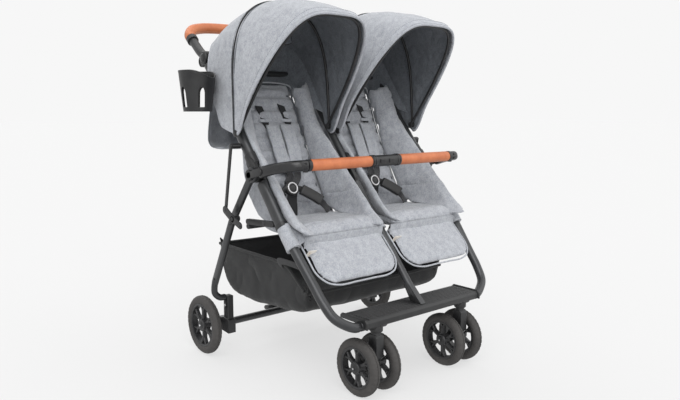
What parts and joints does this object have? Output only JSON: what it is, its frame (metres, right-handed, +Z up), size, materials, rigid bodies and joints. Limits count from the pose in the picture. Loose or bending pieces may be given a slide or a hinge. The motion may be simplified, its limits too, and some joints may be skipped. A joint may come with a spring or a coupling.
{
  "type": "twin stroller",
  "caption": "Side-by-side twin folding stroller with reclining seats, canopies, bumper bar, swivel casters and an under-seat basket.",
  "frame": {"origin": "middle of the footprint box, on the floor", "axes": "+Z up; the stroller faces -Y; +X is to the left of the person pushing"},
  "size_m": [0.8204, 0.7766, 1.0278],
  "materials": {
    "frame_metal": "satin charcoal powder coat",
    "black_plastic": "fine-grained moulded nylon",
    "leather_wrap": "tan leather-look wrap",
    "heather_fabric": "blue-grey heather weave",
    "basket_cloth": "black woven polyester",
    "wheel": "foamed tyre on a black rim"
  },
  "bodies": {
    "front_frame": {"lower_tube_right": "frame_metal", "lower_tube_left": "frame_metal", "centre_tube_lower": "frame_metal", "front_crossbar": "frame_metal", "footboard": "black_plastic", "seat_cross_tube": "frame_metal", "seat_side_bar_right": "black_plastic", "seat_side_bar_left": "black_plastic", "seat_pad_right": "heather_fabric", "seat_pad_left": "heather_fabric", "basket": "basket_cloth", "buckle_right": "black_plastic", "buckle_left": "black_plastic"},
    "rear_frame": {"rear_leg_right": "frame_metal", "rear_leg_left": "frame_metal", "rear_axle_tube": "frame_metal", "rear_wheel_mount_right": "black_plastic", "rear_wheel_mount_left": "black_plastic"},
    "upper_frame": {"upper_tube_right": "frame_metal", "upper_tube_left": "frame_metal", "centre_tube_upper": "frame_metal", "upper_cross_tube": "frame_metal", "cup_holder": "black_plastic", "canopy_rear_right": "heather_fabric", "canopy_rear_left": "heather_fabric"},
    "handle": {"handle_arm_right": "black_plastic", "handle_arm_left": "black_plastic", "handle_grip": "leather_wrap"},
    "bumper_bar": {"bumper_arm_right": "black_plastic", "bumper_arm_left": "black_plastic", "bumper_grip_right": "leather_wrap", "bumper_grip_left": "leather_wrap", "bumper_clip": "black_plastic"},
    "brake_pedal": {"brake_pedal": "black_plastic"},
    "link_rod_right": {"link_rod_right": "black_plastic"},
    "bell_crank_right": {"bell_crank_right": "black_plastic"},
    "caster_right": {"caster_fork_right": "black_plastic"},
    "front_wheel_right_right": {"front_wheel_right_right": "wheel"},
    "front_wheel_right_left": {"front_wheel_right_left": "wheel"},
    "rear_wheel_right": {"rear_wheel_right": "wheel"},
    "seat_back_right": {"seat_back_right": "heather_fabric"},
    "canopy_mid_right": {"canopy_mid_bow_right": "black_plastic"},
    "canopy_front_right": {"canopy_front_bow_right": "black_plastic", "canopy_front_right": "heather_fabric"},
    "bumper_button_right": {"bumper_button_right": "black_plastic"},
    "calf_rest_right": {"calf_rest_right": "heather_fabric"},
    "buckle_button_right": {"buckle_button_right": "black_plastic"},
    "link_rod_left": {"link_rod_left": "black_plastic"},
    "bell_crank_left": {"bell_crank_left": "black_plastic"},
    "caster_left": {"caster_fork_left": "black_plastic"},
    "front_wheel_left_right": {"front_wheel_left_right": "wheel"},
    "front_wheel_left_left": {"front_wheel_left_left": "wheel"},
    "rear_wheel_left": {"rear_wheel_left": "wheel"},
    "seat_back_left": {"seat_back_left": "heather_fabric"},
    "canopy_mid_left": {"canopy_mid_bow_left": "black_plastic"},
    "canopy_front_left": {"canopy_front_bow_left": "black_plastic", "canopy_front_left": "heather_fabric"},
    "bumper_button_left": {"bumper_button_left": "black_plastic"},
    "calf_rest_left": {"calf_rest_left": "heather_fabric"},
    "buckle_button_left": {"buckle_button_left": "black_plastic"}
  },
  "joints": [
    {"name": "frame_fold", "type": "hinge", "parent": "front_frame", "child": "upper_frame", "pos_m": [0.0418, -0.04575, 0.56], "axis": [1, 0, 0], "range_deg": [0, 95]},
    {"name": "rear_leg_fold", "type": "hinge", "parent": "front_frame", "child": "rear_frame", "pos_m": [0.0418, -0.04575, 0.56], "axis": [1, 0, 0], "range_deg": [-43, 0]},
    {"name": "bumper_fold", "type": "hinge", "parent": "front_frame", "child": "bumper_bar", "pos_m": [0.0418, -0.04575, 0.56], "axis": [1, 0, 0], "range_deg": [0, 29]},
    {"name": "handle_tilt", "type": "hinge", "parent": "upper_frame", "child": "handle", "pos_m": [0.0418, 0.21555, 0.879], "axis": [1, 0, 0], "range_deg": [-25, 35]},
    {"name": "brake_press", "type": "hinge", "parent": "rear_frame", "child": "brake_pedal", "pos_m": [0.0418, 0.19965, 0.086], "axis": [-1, 0, 0], "range_deg": [0, 20], "stiffness_Nm_per_rad": 1},
    {"name": "link_rod_pivot_right", "type": "hinge", "parent": "upper_frame", "child": "link_rod_right", "pos_m": [-0.3202, 0.02165, 0.634], "axis": [1, 0, 0], "range_deg": [-83, 0]},
    {"name": "bell_crank_pivot_right", "type": "hinge", "parent": "rear_frame", "child": "bell_crank_right", "pos_m": [-0.3202, 0.01465, 0.438], "axis": [1, 0, 0], "range_deg": [0, 58]},
    {"name": "caster_swivel_right", "type": "hinge", "parent": "front_frame", "child": "caster_right", "pos_m": [-0.1232, -0.34035, 0.15], "axis": [0, 0, 1], "continuous": true},
    {"name": "front_wheel_spin_right_right", "type": "hinge", "parent": "caster_right", "child": "front_wheel_right_right", "pos_m": [-0.1602, -0.31235, 0.076], "axis": [1, 0, 0], "continuous": true},
    {"name": "front_wheel_spin_right_left", "type": "hinge", "parent": "caster_right", "child": "front_wheel_right_left", "pos_m": [-0.0862, -0.31235, 0.076], "axis": [1, 0, 0], "continuous": true},
    {"name": "rear_wheel_spin_right", "type": "hinge", "parent": "rear_frame", "child": "rear_wheel_right", "pos_m": [-0.3062, 0.21965, 0.088], "axis": [1, 0, 0], "continuous": true},
    {"name": "seat_recline_right", "type": "hinge", "parent": "upper_frame", "child": "seat_back_right", "pos_m": [-0.1162, -0.00935, 0.438], "axis": [-1, 0, 0], "range_deg": [0, 38]},
    {"name": "canopy_open_right", "type": "hinge", "parent": "upper_frame", "child": "canopy_mid_right", "pos_m": [-0.1382, 0.02265, 0.682], "axis": [-1, 0, 0], "range_deg": [0, 22], "deforming": ["canopy_rear_right", "canopy_front_right"]},
    {"name": "canopy_front_open_right", "type": "hinge", "parent": "canopy_mid_right", "child": "canopy_front_right", "pos_m": [-0.1382, 0.02265, 0.682], "axis": [-1, 0, 0], "range_deg": [0, 31]},
    {"name": "bumper_button_press_right", "type": "slide", "parent": "bumper_bar", "child": "bumper_button_right", "axis": [0, 0, 1], "range_m": [0, 0.002], "stiffness_N_per_m": 300},
    {"name": "calf_rest_lift_right", "type": "hinge", "parent": "front_frame", "child": "calf_rest_right", "pos_m": [-0.1107, -0.19645, 0.3933], "axis": [-1, 0, 0], "range_deg": [0, 60]},
    {"name": "buckle_press_right", "type": "slide", "parent": "front_frame", "child": "buckle_button_right", "axis": [0, 0.9272, -0.3746], "range_m": [0, 0.002], "stiffness_N_per_m": 300},
    {"name": "link_rod_pivot_left", "type": "hinge", "parent": "upper_frame", "child": "link_rod_left", "pos_m": [0.4038, 0.02165, 0.634], "axis": [1, 0, 0], "range_deg": [-83, 0]},
    {"name": "bell_crank_pivot_left", "type": "hinge", "parent": "rear_frame", "child": "bell_crank_left", "pos_m": [0.4038, 0.01465, 0.438], "axis": [1, 0, 0], "range_deg": [0, 58]},
    {"name": "caster_swivel_left", "type": "hinge", "parent": "front_frame", "child": "caster_left", "pos_m": [0.2068, -0.34035, 0.15], "axis": [0, 0, 1], "continuous": true},
    {"name": "front_wheel_spin_left_right", "type": "hinge", "parent": "caster_left", "child": "front_wheel_left_right", "pos_m": [0.1698, -0.31235, 0.076], "axis": [1, 0, 0], "continuous": true},
    {"name": "front_wheel_spin_left_left", "type": "hinge", "parent": "caster_left", "child": "front_wheel_left_left", "pos_m": [0.2438, -0.31235, 0.076], "axis": [1, 0, 0], "continuous": true},
    {"name": "rear_wheel_spin_left", "type": "hinge", "parent": "rear_frame", "child": "rear_wheel_left", "pos_m": [0.3898, 0.21965, 0.088], "axis": [1, 0, 0], "continuous": true},
    {"name": "seat_recline_left", "type": "hinge", "parent": "upper_frame", "child": "seat_back_left", "pos_m": [0.1998, -0.00935, 0.438], "axis": [-1, 0, 0], "range_deg": [0, 38]},
    {"name": "canopy_open_left", "type": "hinge", "parent": "upper_frame", "child": "canopy_mid_left", "pos_m": [0.2218, 0.02265, 0.682], "axis": [-1, 0, 0], "range_deg": [0, 22], "deforming": ["canopy_rear_left", "canopy_front_left"]},
    {"name": "canopy_front_open_left", "type": "hinge", "parent": "canopy_mid_left", "child": "canopy_front_left", "pos_m": [0.2218, 0.02265, 0.682], "axis": [-1, 0, 0], "range_deg": [0, 31]},
    {"name": "bumper_button_press_left", "type": "slide", "parent": "bumper_bar", "child": "bumper_button_left", "axis": [0, 0, 1], "range_m": [0, 0.002], "stiffness_N_per_m": 300},
    {"name": "calf_rest_lift_left", "type": "hinge", "parent": "front_frame", "child": "calf_rest_left", "pos_m": [0.1943, -0.19645, 0.3933], "axis": [-1, 0, 0], "range_deg": [0, 60]},
    {"name": "buckle_press_left", "type": "slide", "parent": "front_frame", "child": "buckle_button_left", "axis": [0, 0.9272, -0.3746], "range_m": [0, 0.002], "stiffness_N_per_m": 300}
  ],
  "couplings": [
    {"joint": "rear_leg_fold", "follows": "frame_fold", "ratio": -0.45},
    {"joint": "bumper_fold", "follows": "frame_fold", "ratio": 0.3},
    {"joint": "link_rod_pivot_right", "follows": "frame_fold", "ratio": -0.862},
    {"joint": "bell_crank_pivot_right", "follows": "frame_fold", "ratio": 0.6},
    {"joint": "canopy_front_open_right", "follows": "canopy_open_right", "ratio": 1.4},
    {"joint": "link_rod_pivot_left", "follows": "frame_fold", "ratio": -0.862},
    {"joint": "bell_crank_pivot_left", "follows": "frame_fold", "ratio": 0.6},
    {"joint": "canopy_front_open_left", "follows": "canopy_open_left", "ratio": 1.4}
  ]
}
